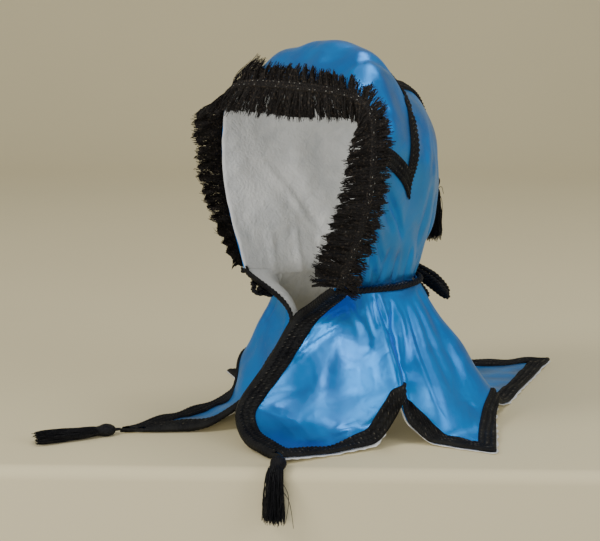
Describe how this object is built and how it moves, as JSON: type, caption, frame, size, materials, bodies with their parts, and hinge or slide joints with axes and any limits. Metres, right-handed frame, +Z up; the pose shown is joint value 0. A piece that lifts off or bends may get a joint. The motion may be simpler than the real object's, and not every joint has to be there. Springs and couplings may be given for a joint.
{
  "type": "silk hood with shoulder cape",
  "caption": "Lined silk hood with a pointed shoulder cape, a pleated lace ruche round the face, black braid edges, a neck cord with a bow and tassels.",
  "frame": {"origin": "inside of the crown, where the lining sits on the head, above the neck's axis", "axes": "+Z up, -Y the way the wearer faces, +X towards the wearer's left"},
  "size_m": [0.374, 0.5769, 0.4045],
  "materials": {
    "blue_silk": "satin",
    "white_silk": "soft sheen",
    "black_braid": "matte crochet braid",
    "black_lace": "matte lace",
    "black_cord": "twisted silk cord"
  },
  "bodies": {
    "root": {"hood_silk": "blue_silk", "hood_lining": "white_silk", "cape_silk": "blue_silk", "cape_lining": "white_silk", "edge_braid": "black_braid", "crown_braid": "black_braid", "lace_ruche": "black_lace", "neck_cord": "black_cord", "nape_knot": "black_cord", "nape_loop_1": "black_cord", "nape_loop_2": "black_cord", "nape_loop_3": "black_cord", "front_clover": "black_cord", "front_button": "black_cord", "left_tassel": "black_cord", "right_tassel": "black_cord", "crown_tassel": "black_cord"}
  },
  "joints": []
}
